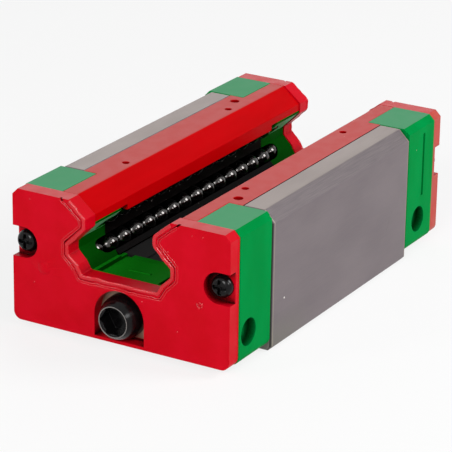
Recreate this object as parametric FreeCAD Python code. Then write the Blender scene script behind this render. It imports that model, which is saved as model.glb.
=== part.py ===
"""Square linear bearing block: a carriage that rolls on a profile rail on four recirculating rows of balls.

The steel body is a trough with a V pocket in each leg. Each pocket holds a plastic ball retainer and two
rows of loaded balls. The balls leave at the end of the steel, turn round inside the end cap on a separate
return guide, and come back through a bore in the leg. Each end has a moulded cap, a metal seal plate, a
wiper seal, two screws and a grease plug. A strip seal runs along the top of each leg.

Frame: the block lies upside down on its mounting face with the rail slot up, as it is stored. The origin
is the centre of the mounting face. +X runs along the slot, with the front end at -X. +Y is the left leg.
+Z is up. Units are millimetres.
"""

import FreeCAD, Part
import math
import os

V = FreeCAD.Vector

# Block on its rail
assembly_height = 30.0
rail_gap = 4.6
block_width = 44.0
steel_length = 50.5
cap_length = 10.5
seal_thickness = 3.0
block_height = assembly_height - rail_gap
steel_end = steel_length / 2
cap_end = steel_end + cap_length
block_end = cap_end + seal_thickness

# Rail that the slot is made for, which isn't part of the block
rail_width = 20.0
rail_height = 17.5
rail_top_land = 14.8
rail_shoulder_drop = 1.5
rail_nose_drop = 3.9
rail_nose_land = 1.4
rail_waist_width = 13.2
rail_waist_land = 2.1
rail_top = assembly_height - rail_height
nose_level = rail_top + rail_nose_drop

# Balls and their circuit
ball_diameter = 3.969
ball_play = 0.1
row_outset = 0.2
row_rise = 3.05
turn_inset = 3.31
turn_balls = 3
turn_play = 0.031
return_tilt = 10.0
channel_clearance = 0.1
ball_radius = ball_diameter / 2
channel_radius = ball_radius + channel_clearance
row_y = rail_width / 2 + row_outset
straight_end = steel_end + turn_inset
balls_per_row = int(2 * straight_end / (ball_diameter + ball_play))
ball_pitch = 2 * straight_end / balls_per_row
turn_radius = (ball_diameter + turn_play) / (2 * math.sin(math.pi / (2 * turn_balls)))

# Steel body
groove_rise = 0.3
slot_floor_gap = 0.6
slot_relief_width = 6.2
slot_relief_depth = 0.4
leg_chamfer = 2.0
foot_chamfer = 0.8
end_chamfer = 0.35
return_bore_clearance = 0.12
mount_hole_radius = 2.1
mount_hole_depth = 8.0
mount_hole_mouth = 0.4
mount_hole_point_angle = 118.0
mount_spacing_x = 36.0
mount_spacing_y = 32.0

# Ball retainer
ball_show = 0.68
retainer_gap = 0.05
retainer_web = 0.65
retainer_rail_gap = 0.3
retainer_reach = 1.95

# Strip seal on each leg
strip_thickness = 1.2
strip_lip_thickness = 1.1
strip_rail_gap = 0.3
strip_outer_y = 16.0
strip_cap_outer_y = 13.3
strip_lip_rise = 3.6
strip_cap_lip_rise = 4.6
strip_gap = 0.05
peg_hole_radius = 0.6
peg_hole_depth = 0.8
peg_hole_inset = 7.55
peg_hole_y = 12.1
gate_hole_radius = 0.8
gate_hole_inset = 2.75
gate_hole_y = 13.5

# End cap
cap_inset = 0.2
cap_foot = 1.3
cap_chamfer = 1.1
cap_foot_round = 1.5
cap_rail_gap = 0.3
cap_rim_gap = 0.2
cap_rim_depth = 0.6
cap_floor_groove_y = 6.1
cap_floor_groove_width = 1.5
cap_floor_groove_depth = 0.8
cap_floor_rib_inset = 3.65
cap_floor_rib_length = 4.4
cap_floor_rib_width = 0.3
cap_floor_rib_height = 0.15
cap_side_hole_radius = 2.45
cap_side_hole_depth = 1.6
cap_side_hole_level = 6.5
cap_near_hole_inset = 3.0
cap_far_hole_inset = 5.5
cap_groove_inset = 4.1
cap_groove_width = 0.8
cap_groove_depth = 0.3
cap_groove_top_gap = 2.4
cap_groove_bottom = 10.8

# Return guide
guide_half_height = 2.4
guide_gap = 0.05
guide_web_thickness = 1.2
guide_web_rise = 1.8
guide_web_outer = 3.0

# End seal and its metal plate
seal_inset = 0.4
seal_lip_gap = 0.1
seal_groove_offset = 0.95
seal_groove_width = 0.3
seal_groove_depth = 0.4
seal_round = 0.5
keyhole_radius = 4.95
keyhole_foot_gap = 0.1
dome_radius = 1.3
dome_height = 0.35
dome_inset = 6.8
dome_drop = 4.4
plate_thickness = 0.8
plate_inset = 1.0
plate_rail_gap = 1.8
plate_gap = 0.05

# Screws and grease plug
screw_inset = 2.65
screw_drop = 0.6
screw_y = block_width / 2 - screw_inset
screw_z = nose_level - screw_drop
screw_radius = 1.0
screw_length = 18.0
screw_head_radius = 2.0
screw_head_height = 1.6
screw_head_rim = 0.4
screw_head_crown = 0.7
screw_recess_width = 0.65
screw_recess_reach = 1.3
screw_recess_depth = 0.9
screw_hole_gap = 0.15
thread_gap = 0.02
notch_radius = 2.8
notch_floor = 1.2
plug_level = 6.0
plug_radius = 2.95
plug_depth = 8.0
plug_flange_radius = 4.0
plug_flange_rim = 0.6
plug_front_radius = 2.85
plug_proud = 2.0
plug_socket_flats = 4.6
plug_socket_depth = 3.0
plug_mouth_radius = 2.72
plug_mouth_depth = 0.3
plug_hole_gap = 0.05
plug_hole_spare = 0.5

# Room that cutting tools run past the metal
over = 1.0
half_root = math.sqrt(0.5)


def outline(points):
    """Return a closed wire at X = 0 through (y, z) points, where a point (y, z, r) is a round corner."""
    corners = [V(0, point[0], point[1]) for point in points]
    count = len(corners)
    enters = []
    leaves = []
    arcs = []
    for index, point in enumerate(points):
        here = corners[index]
        if len(point) == 2:
            enters.append(here)
            leaves.append(here)
            arcs.append(None)
            continue
        radius = point[2]
        back = (corners[index - 1] - here).normalize()
        ahead = (corners[(index + 1) % count] - here).normalize()
        half = back.getAngle(ahead) / 2
        reach = radius / math.tan(half)
        middle = (back + ahead).normalize() * (radius / math.sin(half) - radius)
        enters.append(here + back * reach)
        leaves.append(here + ahead * reach)
        arcs.append(Part.Arc(enters[-1], here + middle, leaves[-1]).toShape())
    edges = []
    for index in range(count):
        if arcs[index]:
            edges.append(arcs[index])
        start = leaves[index]
        end = enters[(index + 1) % count]
        edges.append(Part.LineSegment(start, end).toShape())
    return Part.Wire(edges)


def prism(points, x_from, x_to):
    """Return the solid that a (y, z) outline sweeps from one X to another."""
    face = Part.Face(outline(points))
    face.translate(V(x_from, 0, 0))
    return face.extrude(V(x_to - x_from, 0, 0))


def both_sides(half):
    """Return a closed outline from its +Y half, whose first and last points may lie on the centre line."""
    other = [(-point[0],) + tuple(point[1:]) for point in reversed(half) if point[0] > 0]
    return half + other


def parallel(points, distance):
    """Return an open line of (y, z) points moved to its right hand side, with mitred corners."""
    moved = []
    last = len(points) - 1
    for index in range(last + 1):
        before = points[max(index - 1, 0)]
        here = points[index]
        after = points[min(index + 1, last)]
        normals = []
        for start, end in ((before, here), (here, after)):
            run = math.hypot(end[0] - start[0], end[1] - start[1])
            if run > 0:
                normals.append(((end[1] - start[1]) / run, (start[0] - end[0]) / run))
        total_y = sum(normal[0] for normal in normals)
        total_z = sum(normal[1] for normal in normals)
        scale = distance * len(normals) / (total_y * total_y + total_z * total_z)
        moved.append((here[0] + total_y * scale, here[1] + total_z * scale))
    return moved


def at_level(start, end, level):
    """Return the (y, z) point at a level on the line through two points."""
    share = (level - start[1]) / (end[1] - start[1])
    return (start[0] + (end[0] - start[0]) * share, level)


def turned(shape):
    """Return a copy of a front piece turned half round the vertical, for the rear end."""
    copy = shape.copy()
    copy.rotate(V(0, 0, 0), V(0, 0, 1), 180)
    return copy


def mirrored(shape):
    """Return a copy of a left piece mirrored to the right side."""
    return shape.mirror(V(0, 0, 0), V(0, 1, 0))


def rail_line():
    """Return the +Y half of the rail's section, from the middle of its top to its foot above the block."""
    waist_y = rail_waist_width / 2
    nose_y = rail_width / 2
    shoulder_z = rail_top + rail_shoulder_drop
    nose_bottom = nose_level - rail_nose_land / 2
    nose_top = nose_level + rail_nose_land / 2
    waist_bottom = nose_top + nose_y - waist_y
    foot = (waist_y, waist_bottom + rail_waist_land)
    mouth = at_level(foot, (nose_y, block_height), block_height + over)
    return [
        (0, rail_top),
        (rail_top_land / 2, rail_top),
        (nose_y - (nose_bottom - shoulder_z), shoulder_z),
        (nose_y, nose_bottom),
        (nose_y, nose_top),
        (waist_y, waist_bottom),
        foot,
        mouth,
    ]


def rail_space(gap, corner=0):
    """Return the outline of the rail's space with a gap all round, with round corners if asked."""
    line = parallel(rail_line(), gap)
    if corner:
        line = line[:1] + [point + (corner,) for point in line[1:-1]] + line[-1:]
    return both_sides(line)


def row_point(inward, along):
    """Return a (y, z) point inward into the steel and along the V wall from the lower row's centre."""
    y = row_y + (inward + along) * half_root
    z = nose_level - row_rise + (along - inward) * half_root
    return (y, z)


def flipped(point):
    """Return a (y, z) point of the lower row's side as it is on the upper row's side of the nose level."""
    return (point[0], 2 * nose_level - point[1])


def pocket_outline(gap):
    """Return the outline of the slot with its two V pockets, with a gap round the ball retainers."""
    floor = rail_top - slot_floor_gap
    wall = groove_rise - retainer_gap + gap
    end = -(channel_radius + retainer_web + gap)
    corner = row_point(wall, end)
    shore = (corner[0] - (floor - corner[1]), floor)
    apex = (row_y + row_rise + wall / half_root, nose_level)
    upper_shore = flipped(shore)
    half = [(0, floor), shore, corner, apex, flipped(corner), upper_shore]
    half = half + [(upper_shore[0], block_height + over), (0, block_height + over)]
    return both_sides(half)


def strip_face():
    """Return the slot side of the strip seal as a line from its lip to its edge at the mouth."""
    line = parallel(rail_line(), strip_rail_gap)
    return [line[-3], line[-2], at_level(line[-2], line[-1], block_height)]


def strip_outline(lip_rise, outer_y):
    """Return the closed section of the left strip seal."""
    waist, bend, mouth = strip_face()
    lip = (waist[0], nose_level + lip_rise)
    back = parallel([lip, bend, mouth], strip_lip_thickness)
    under = block_height - strip_thickness
    knee = at_level(back[1], back[2], under)
    return [lip, bend, mouth, (outer_y, block_height), (outer_y, under), knee, back[1], back[0]]


def strip_seat(lip_rise, outer_y, x_from, x_to):
    """Return the space above the line where the strip seals rest, with a gap round them."""
    waist, bend, mouth = strip_face()
    lip = (waist[0], nose_level + lip_rise - strip_gap)
    back = parallel([lip, bend, mouth], strip_lip_thickness + strip_gap)
    under = block_height - strip_thickness - strip_gap
    knee = at_level(back[1], back[2], under)
    edge = outer_y + strip_gap
    half = [(0, lip[1]), back[0], back[1], knee, (edge, under), (edge, block_height + over)]
    return prism(both_sides(half + [(0, block_height + over)]), x_from, x_to)


def row_centres(level_sign):
    """Return the (y, z) centres of a left circuit's loaded and return rows, upper (1) or lower (-1)."""
    tilt = math.radians(return_tilt)
    loaded = (row_y, nose_level + level_sign * row_rise)
    shift = 2 * turn_radius
    back = (loaded[0] + shift * math.cos(tilt), loaded[1] + level_sign * shift * math.sin(tilt))
    return loaded, back


def front_turn(level_sign):
    """Return the centre of a left front turn, and the direction from its loaded row to its return row."""
    loaded, back = row_centres(level_sign)
    centre = V(-straight_end, (loaded[0] + back[0]) / 2, (loaded[1] + back[1]) / 2)
    return centre, V(0, back[0] - loaded[0], back[1] - loaded[1]).normalize()


def tube(centre, radius, x_from, x_to):
    """Return a round bar along X at a (y, z) centre."""
    return Part.makeCylinder(radius, x_to - x_from, V(x_from, centre[0], centre[1]), V(1, 0, 0))


def front_channel(level_sign):
    """Return the space that a left circuit's balls pass through in the front cap: in, round and back."""
    loaded, back = row_centres(level_sign)
    mouth = -steel_end + over
    starts = [V(mouth, *loaded), V(-straight_end, *loaded)]
    ends = [V(-straight_end, *back), V(mouth, *back)]
    tip = front_turn(level_sign)[0] - V(turn_radius, 0, 0)
    path = [
        Part.LineSegment(*starts).toShape(),
        Part.Arc(starts[1], tip, ends[0]).toShape(),
        Part.LineSegment(*ends).toShape(),
    ]
    circle = Part.Wire(Part.makeCircle(channel_radius, starts[0], V(1, 0, 0)))
    return Part.Wire(path).makePipeShell([circle], True, True)


def front_channels():
    """Return both ball channels of the left side inside the front cap."""
    return [front_channel(-1), front_channel(1)]


def carriage_body():
    """Return the steel body: a trough with V pockets, ball grooves, return bores and threaded holes."""
    side = block_width / 2
    half = [
        (0, 0),
        (side - foot_chamfer, 0),
        (side, foot_chamfer),
        (side, block_height - leg_chamfer),
        (side - leg_chamfer, block_height),
        (0, block_height),
    ]
    body = prism(both_sides(half), -steel_end, steel_end)
    ends = [edge for edge in body.Edges if abs(abs(edge.CenterOfMass.x) - steel_end) < 0.001]
    body = body.makeChamfer(end_chamfer, ends)
    long = steel_end + over
    tools = [prism(pocket_outline(retainer_gap), -long, long)]
    tools.append(slot_relief(long))
    tools.append(strip_seat(strip_lip_rise, strip_outer_y, -long, long))
    for level_sign in (-1, 1):
        loaded, back = row_centres(level_sign)
        for side_sign in (-1, 1):
            tools.append(tube((side_sign * loaded[0], loaded[1]), channel_radius, -long, long))
            radius = channel_radius + return_bore_clearance
            tools.append(tube((side_sign * back[0], back[1]), radius, -long, long))
    for x_sign in (-1, 1):
        for side_sign in (-1, 1):
            tools.append(mount_hole(x_sign * mount_spacing_x / 2, side_sign * mount_spacing_y / 2))
            tools.append(screw_bore(x_sign, side_sign))
    return body.cut(tools)


def slot_relief(long):
    """Return the shallow relief along the middle of the steel slot's floor."""
    floor = rail_top - slot_floor_gap
    height = slot_relief_depth + over
    corner = V(-long, -slot_relief_width / 2, floor - slot_relief_depth)
    return Part.makeBox(2 * long, slot_relief_width, height, corner)


def mount_hole(x, y):
    """Return a threaded mounting hole with a chamfered mouth and a drilled point."""
    mouth = mount_hole_radius + mount_hole_mouth
    point = mount_hole_radius / math.tan(math.radians(mount_hole_point_angle / 2))
    line = [
        V(0, 0, -over),
        V(mouth, 0, -over),
        V(mouth, 0, 0),
        V(mount_hole_radius, 0, mount_hole_mouth),
        V(mount_hole_radius, 0, mount_hole_depth),
        V(0, 0, mount_hole_depth + point),
    ]
    tool = Part.Face(Part.makePolygon(line + line[:1])).revolve(V(0, 0, 0), V(0, 0, 1), 360)
    tool.translate(V(x, y, 0))
    return tool


def screw_tip():
    """Return how far from the block's middle the cap screws end."""
    return cap_end + notch_floor - screw_length


def screw_bore(x_sign, side_sign):
    """Return the threaded hole for one cap screw in an end of the steel."""
    start = min(x_sign * (screw_tip() - over), x_sign * (steel_end + over))
    end = max(x_sign * (screw_tip() - over), x_sign * (steel_end + over))
    return tube((side_sign * screw_y, screw_z), screw_radius + thread_gap, start, end)


def end_outline(half_width):
    """Return the outline that the cap and the seal share at their own half widths."""
    half = [
        (0, cap_foot),
        (half_width, cap_foot, cap_foot_round),
        (half_width, block_height - cap_chamfer),
        (half_width - cap_chamfer, block_height),
        (0, block_height),
    ]
    return both_sides(half)


def guide_blank(grow):
    """Return the front left return guide before its grooves are cut, grown by a gap for its pocket."""
    pieces = []
    for level_sign in (-1, 1):
        centre, across = front_turn(level_sign)
        axis = across.cross(V(1, 0, 0))
        half_height = guide_half_height + grow
        radius = turn_radius + grow
        base = centre - axis * half_height
        straight = V(turn_inset, 0, 0)
        start = base - across * radius
        end = base + across * radius
        tip = base - V(radius, 0, 0)
        edges = [
            Part.LineSegment(start + straight, start).toShape(),
            Part.Arc(start, tip, end).toShape(),
            Part.LineSegment(end, end + straight).toShape(),
            Part.LineSegment(end + straight, start + straight).toShape(),
        ]
        pieces.append(Part.Face(Part.Wire(edges)).extrude(axis * (2 * half_height)))
    middle_y = front_turn(-1)[0].y
    low = nose_level - guide_web_rise - grow
    web = Part.makeBox(
        guide_web_thickness + grow,
        row_rise + guide_web_outer + 2 * grow,
        2 * (guide_web_rise + grow),
        V(-steel_end - guide_web_thickness - grow, middle_y - row_rise - grow, low),
    )
    return pieces[0].fuse([pieces[1], web])


def retainer_collar(level_sign, grow, x_to):
    """Return the ring round a left loaded row that ties a retainer's bars together behind its balls."""
    radius = channel_radius + retainer_web + grow
    x_from = -steel_end - retainer_reach - grow
    return tube(row_centres(level_sign)[0], radius, x_from, x_to)


def retainer_recess():
    """Return the room that the retainers' ends take in the front cap."""
    mouth = -steel_end + over
    reach = steel_end + retainer_reach + retainer_gap
    pieces = []
    for level_sign in (-1, 1):
        collar = retainer_collar(level_sign, retainer_gap, mouth)
        pieces.append(collar)
        pieces.append(mirrored(collar))
    return prism(pocket_outline(retainer_gap), -reach, mouth).fuse(pieces)


def left_return_guide():
    """Return the front left return guide: two half round grooved bosses joined by a web."""
    return guide_blank(0).cut(front_channels() + [retainer_recess()])


def rail_slot_tool(gap):
    """Return the rail's space through the front end."""
    return prism(rail_space(gap), -block_end - over, -steel_end + over)


def side_hole(side_sign, inset):
    """Return a blind lubrication hole in one side of the front cap."""
    start = block_width / 2 - cap_inset - cap_side_hole_depth
    base = V(-cap_end + inset, side_sign * start, cap_side_hole_level)
    depth = cap_side_hole_depth + over
    return Part.makeCylinder(cap_side_hole_radius, depth, base, V(0, side_sign, 0))


def front_end_cap():
    """Return the front end cap with its ball turns, guide pockets, grease port and side holes."""
    half_width = block_width / 2 - cap_inset
    cap = prism(end_outline(half_width), -cap_end, -steel_end)
    left_tools = front_channels() + [guide_blank(guide_gap)]
    tools = left_tools + [mirrored(tool) for tool in left_tools]
    tools.append(retainer_recess())
    tools.append(rail_slot_tool(cap_rail_gap))
    tools.append(strip_seat(strip_cap_lip_rise, strip_cap_outer_y, -cap_end - over, -steel_end + over))
    for side_sign in (-1, 1):
        hole = screw_radius + screw_hole_gap
        tools.append(tube((side_sign * screw_y, screw_z), hole, -cap_end - over, -steel_end + over))
    hole_end = -cap_end + plug_depth + plug_hole_spare
    tools.append(tube((0, plug_level), plug_radius + plug_hole_gap, -cap_end - over, hole_end))
    tools.append(side_hole(-1, cap_near_hole_inset))
    tools.append(side_hole(1, cap_far_hole_inset))
    groove_x = -cap_end + cap_groove_inset - cap_groove_width / 2
    groove = Part.makeBox(
        cap_groove_width,
        cap_groove_depth + over,
        block_height - cap_groove_top_gap - cap_groove_bottom,
        V(groove_x, half_width - cap_groove_depth, cap_groove_bottom),
    )
    tools.append(groove)
    for side_sign in (-1, 1):
        tools.append(rim_relief(side_sign, half_width))
        tools.append(floor_groove(side_sign))
    return cap.cut(tools).fuse(floor_rib())


def rim_relief(side_sign, half_width):
    """Return the step down one side of the front cap that leaves a shadow gap at the steel."""
    start = min(side_sign * (half_width - cap_rim_depth), side_sign * (half_width + over))
    corner = V(-steel_end - cap_rim_gap, start, 0)
    return Part.makeBox(cap_rim_gap + over, cap_rim_depth + over, block_height + over, corner)


def floor_groove(side_sign):
    """Return the groove along one side of the front cap's slot floor."""
    floor = rail_top - cap_rail_gap
    depth = cap_floor_groove_depth
    start = side_sign * cap_floor_groove_y - cap_floor_groove_width / 2
    corner = V(-cap_end + plate_thickness, start, floor - depth)
    length = cap_length - plate_thickness + over
    return Part.makeBox(length, cap_floor_groove_width, depth + over, corner)


def floor_rib():
    """Return the low moulded rib across the middle of the front cap's slot floor."""
    floor = rail_top - cap_rail_gap
    start = -cap_end + cap_floor_rib_inset - cap_floor_rib_width / 2
    corner = V(start, -cap_floor_rib_length / 2, floor - over)
    return Part.makeBox(cap_floor_rib_width, cap_floor_rib_length, over + cap_floor_rib_height, corner)


def keyhole(radius, x_from, x_to):
    """Return the round topped cut-out for the grease plug, which leaves a thin bridge under the plug."""
    foot = plug_level - plug_flange_radius - keyhole_foot_gap
    side = radius + over
    lower = [(0, foot), (radius, foot), (radius, plug_level), (0, plug_level)]
    upper = [(0, plug_level), (side, plug_level), (side, plug_level + side), (0, plug_level + side)]
    arch = tube((0, plug_level), radius, x_from, x_to).common(prism(both_sides(upper), x_from, x_to))
    return prism(both_sides(lower), x_from, x_to).fuse(arch)


def screw_notch(side_sign):
    """Return the deep notch for one screw head in the front seal, open to the side."""
    floor = -cap_end - notch_floor
    bar = tube((side_sign * screw_y, screw_z), notch_radius, -block_end - over, floor)
    width = block_width / 2 - screw_y + over
    start = min(side_sign * screw_y, side_sign * (screw_y + width))
    box = Part.makeBox(
        block_end + over + floor,
        width,
        2 * notch_radius,
        V(-block_end - over, start, screw_z - notch_radius),
    )
    return bar.fuse(box)


def front_end_seal():
    """Return the front wiper seal with its lip, groove, keyhole, screw notches and pocket for the plate."""
    half_width = block_width / 2 - seal_inset
    seal = prism(end_outline(half_width), -block_end, -cap_end)
    plate_front = -cap_end - plate_thickness - plate_gap
    tools = [prism(rail_space(seal_lip_gap, seal_round), -block_end - over, -cap_end + over)]
    tools.append(prism(plate_outline(plate_gap), plate_front, -cap_end + over))
    tools.append(keyhole(keyhole_radius, -block_end - over, -cap_end - plate_thickness))
    for side_sign in (-1, 1):
        tools.append(screw_notch(side_sign))
        hole = screw_radius + screw_hole_gap
        tools.append(tube((side_sign * screw_y, screw_z), hole, -block_end, -cap_end + over))
    seal = seal.cut(tools)
    outer = rail_space(seal_groove_offset + seal_groove_width, seal_round)
    groove = prism(outer, -block_end - over, -block_end + seal_groove_depth)
    groove = groove.cut(prism(rail_space(seal_groove_offset, seal_round), -block_end - over * 2, -cap_end))
    seal = seal.cut(groove)
    ball = (dome_radius * dome_radius + dome_height * dome_height) / (2 * dome_height)
    place = (block_width / 2 - dome_inset, nose_level - dome_drop)
    dome = Part.makeSphere(ball, V(-block_end - dome_height + ball, *place))
    keep = tube(place, dome_radius + over, -block_end - over, -block_end + dome_height)
    return seal.fuse(dome.common(keep))


def plate_outline(grow):
    """Return the outline of the seal plate, grown by a gap for its pocket in the seal."""
    side = block_width / 2 - seal_inset - plate_inset + grow
    line = parallel(rail_line(), plate_rail_gap - grow)
    top = block_height - plate_inset + grow
    foot = cap_foot + plate_inset - grow
    edge = at_level(line[-2], line[-1], top)
    half = [(0, foot), (side, foot), (side, top), edge] + list(reversed(line[:-1]))
    return both_sides(half)


def front_seal_plate():
    """Return the sheet metal plate behind the front seal."""
    plate = prism(plate_outline(0), -cap_end - plate_thickness, -cap_end)
    tools = [tube((0, plug_level), plug_radius + screw_hole_gap, -block_end, -steel_end)]
    for side_sign in (-1, 1):
        hole = screw_radius + screw_hole_gap
        tools.append(tube((side_sign * screw_y, screw_z), hole, -block_end, -steel_end))
    return plate.cut(tools)


def left_bottom_seal():
    """Return the strip seal of the left leg, which narrows and has a shorter lip over the end caps."""
    end = cap_end - strip_gap
    narrow = prism(strip_outline(strip_cap_lip_rise, strip_cap_outer_y), -end, end)
    middle = steel_end - strip_gap
    wide = prism(strip_outline(strip_lip_rise, strip_outer_y), -middle, middle)
    strip = narrow.fuse(wide).removeSplitter()
    tools = []
    for x_sign in (-1, 1):
        tools.append(top_hole(x_sign * (steel_end - peg_hole_inset), peg_hole_y, peg_hole_radius))
    tools.append(top_hole(steel_end - gate_hole_inset, gate_hole_y, gate_hole_radius))
    return strip.cut(tools)


def top_hole(x, y, radius):
    """Return a shallow round hole in the top of a strip seal."""
    return Part.makeCylinder(radius, peg_hole_depth + over, V(x, y, block_height - peg_hole_depth))


def retainer_side(depth, reach):
    """Return the slot side of the left retainer as (y, z) points, for its face or a plane behind it."""
    lower = row_point(depth, reach)
    apex_y = row_y + row_rise + depth / half_root
    nose_y = rail_width / 2 + retainer_rail_gap
    nose = (nose_y, nose_level - (apex_y - nose_y))
    return [lower, nose, flipped(nose), flipped(lower)]


def left_ball_retainer():
    """Return the left retainer: three bars beside two rows of balls, tied by collars at the ends."""
    face = ball_show - ball_radius
    back = groove_rise - retainer_gap
    reach = -(channel_radius + retainer_web)
    apex = (row_y + row_rise + back / half_root, nose_level)
    root = row_point(back, reach)
    tip = steel_end + retainer_reach
    bar = prism(retainer_side(face, reach) + [flipped(root), apex, root], -tip, tip)
    front_of_face = retainer_side(face, 2 * reach)
    front_of_face = front_of_face + [(0, front_of_face[-1][1]), (0, front_of_face[0][1])]
    collars = []
    for level_sign in (-1, 1):
        collar = retainer_collar(level_sign, 0, -steel_end - retainer_gap)
        collars.append(collar)
        collars.append(mirrored(turned(collar)))
    lip_back = strip_face()[0][0] + strip_lip_thickness + 2 * strip_gap
    lip_room = [(0, nose_level), (lip_back, nose_level), (lip_back, block_height), (0, block_height)]
    tools = [prism(front_of_face, -tip - over, tip + over)]
    tools.append(prism(lip_room, -tip - over, tip + over))
    for level_sign in (-1, 1):
        tools.append(tube(row_centres(level_sign)[0], channel_radius, -tip - over, tip + over))
    return bar.fuse(collars).cut(tools)


def straight_balls(centre):
    """Return one straight row of balls at a (y, z) centre, spread evenly about the block's middle."""
    first = -(balls_per_row - 1) / 2 * ball_pitch
    return [Part.makeSphere(ball_radius, V(first + n * ball_pitch, *centre)) for n in range(balls_per_row)]


def turning_balls(level_sign):
    """Return the balls in the left circuit's front turn, each half a step from the next tangent point."""
    centre, across = front_turn(level_sign)
    step = math.pi / turn_balls
    balls = []
    for n in range(turn_balls):
        angle = (n + 0.5) * step
        place = centre - across * (turn_radius * math.cos(angle)) - V(turn_radius * math.sin(angle), 0, 0)
        balls.append(Part.makeSphere(ball_radius, place))
    return balls


def domed_head(seat, height, rim, radius, top_radius):
    """Return a head about the X axis with a straight rim, a rounded shoulder and a flat front at -X."""
    front = seat - height
    edge = seat - rim
    rise = height - rim
    drop = radius - top_radius
    curve = (rise * rise + drop * drop) / (2 * drop)
    half = math.asin(rise / curve) / 2
    shoulder = V(edge - curve * math.sin(half), radius - curve * (1 - math.cos(half)), 0)
    line = [
        Part.LineSegment(V(seat, 0, 0), V(seat, radius, 0)),
        Part.LineSegment(V(seat, radius, 0), V(edge, radius, 0)),
        Part.Arc(V(edge, radius, 0), shoulder, V(front, top_radius, 0)),
        Part.LineSegment(V(front, top_radius, 0), V(front, 0, 0)),
        Part.LineSegment(V(front, 0, 0), V(seat, 0, 0)),
    ]
    face = Part.Face(Part.Wire([piece.toShape() for piece in line]))
    return face.revolve(V(0, 0, 0), V(1, 0, 0), 360)


def cap_screw():
    """Return the left front cap screw, a pan head screw with a cross recess."""
    seat = -cap_end - notch_floor
    shank = tube((screw_y, screw_z), screw_radius, seat, -screw_tip())
    head = domed_head(seat, screw_head_height, screw_head_rim, screw_head_radius, screw_head_crown)
    head.translate(V(0, screw_y, screw_z))
    screw = shank.fuse(head)
    depth = screw_recess_depth + over
    top = seat - screw_head_height - over
    wide = 2 * screw_recess_reach
    thin = screw_recess_width
    flat = Part.makeBox(depth, wide, thin, V(top, screw_y - wide / 2, screw_z - thin / 2))
    tall = Part.makeBox(depth, thin, wide, V(top, screw_y - thin / 2, screw_z - wide / 2))
    return screw.cut(flat.fuse(tall))


def front_grease_plug():
    """Return the front grease plug: a threaded shank, a domed flange and a chamfered hexagon socket."""
    seat = -cap_end - plate_thickness
    front = -block_end - plug_proud
    head = domed_head(seat, seat - front, plug_flange_rim, plug_flange_radius, plug_front_radius)
    head.translate(V(0, 0, plug_level))
    shank = tube((0, plug_level), plug_radius, seat, -cap_end + plug_depth)
    corner = plug_socket_flats / math.sqrt(3)
    ring = []
    for n in range(6):
        angle = math.radians(60 * n)
        ring.append(V(front - over, corner * math.cos(angle), plug_level + corner * math.sin(angle)))
    socket = Part.Face(Part.makePolygon(ring + ring[:1])).extrude(V(plug_socket_depth + over, 0, 0))
    mouth = Part.makeCone(
        plug_mouth_radius + over,
        plug_mouth_radius - plug_mouth_depth,
        plug_mouth_depth + over,
        V(front - over, 0, plug_level),
        V(1, 0, 0),
    )
    return shank.fuse(head).cut([socket, mouth])


def save(name, solids):
    """Write the solids of one node to its own file."""
    shape = solids[0] if len(solids) == 1 else Part.makeCompound(solids)
    shape.exportStep("parts/" + name + ".step")


def save_ends(name, front):
    """Write a piece of the front end, and the same piece turned to the rear end."""
    save("front_" + name, front)
    save("rear_" + name, [turned(solid) for solid in front])


def save_circuits():
    """Write each ball circuit as four nodes: the loaded row, the return row and the two turns."""
    for level, level_sign in (("lower", -1), ("upper", 1)):
        loaded, back = row_centres(level_sign)
        turns = turning_balls(level_sign)
        rear_turns = [mirrored(turned(ball)) for ball in turns]
        left = {
            "loaded_balls": straight_balls(loaded),
            "return_balls": straight_balls(back),
            "front_turn_balls": turns,
            "rear_turn_balls": rear_turns,
        }
        for name, balls in left.items():
            save("left_" + level + "_" + name, balls)
            save("right_" + level + "_" + name, [mirrored(ball) for ball in balls])


def main():
    """Build every node and print the sizes that the circuit works out."""
    os.makedirs("parts", exist_ok=True)
    save("carriage_body", [carriage_body()])
    save_ends("end_cap", [front_end_cap()])
    save_ends("end_seal", [front_end_seal()])
    save_ends("seal_plate", [front_seal_plate()])
    save_ends("cap_screws", [cap_screw(), mirrored(cap_screw())])
    save_ends("grease_plug", [front_grease_plug()])
    guide = left_return_guide()
    right_guide = mirrored(guide)
    save("front_left_return_guide", [guide])
    save("front_right_return_guide", [right_guide])
    save("rear_right_return_guide", [turned(guide)])
    save("rear_left_return_guide", [turned(right_guide)])
    strip = left_bottom_seal()
    save("left_bottom_seal", [strip])
    save("right_bottom_seal", [turned(strip)])
    retainer = left_ball_retainer()
    save("left_ball_retainer", [retainer])
    save("right_ball_retainer", [mirrored(retainer)])
    save_circuits()
    print("balls in a straight row", balls_per_row, "pitch", round(ball_pitch, 4))
    print("turn radius", round(turn_radius, 4), "straight end", round(straight_end, 3))


main()
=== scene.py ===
# %% [markdown]
# # Dressing a linear bearing block
# The object is a narrow carriage for a profile rail. It lies upside down on its mounting face, with the
# rail slot up. CAD has already made its parts to size: a ground steel body, green end caps, red wiper seals
# and strip seals, black ball retainers, and four endless rows of balls. Blender doesn't change any size. It
# gives the parts rounded edges, small moulded details and finishes, and it sets up light, floor and camera.
# X runs along the slot, Y across it and Z up. Blender counts in metres, so sizes are written in millimetres
# and multiplied by mm.

# %% Load the CAD model
import bmesh
import bpy
import math
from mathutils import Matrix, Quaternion, Vector


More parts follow.
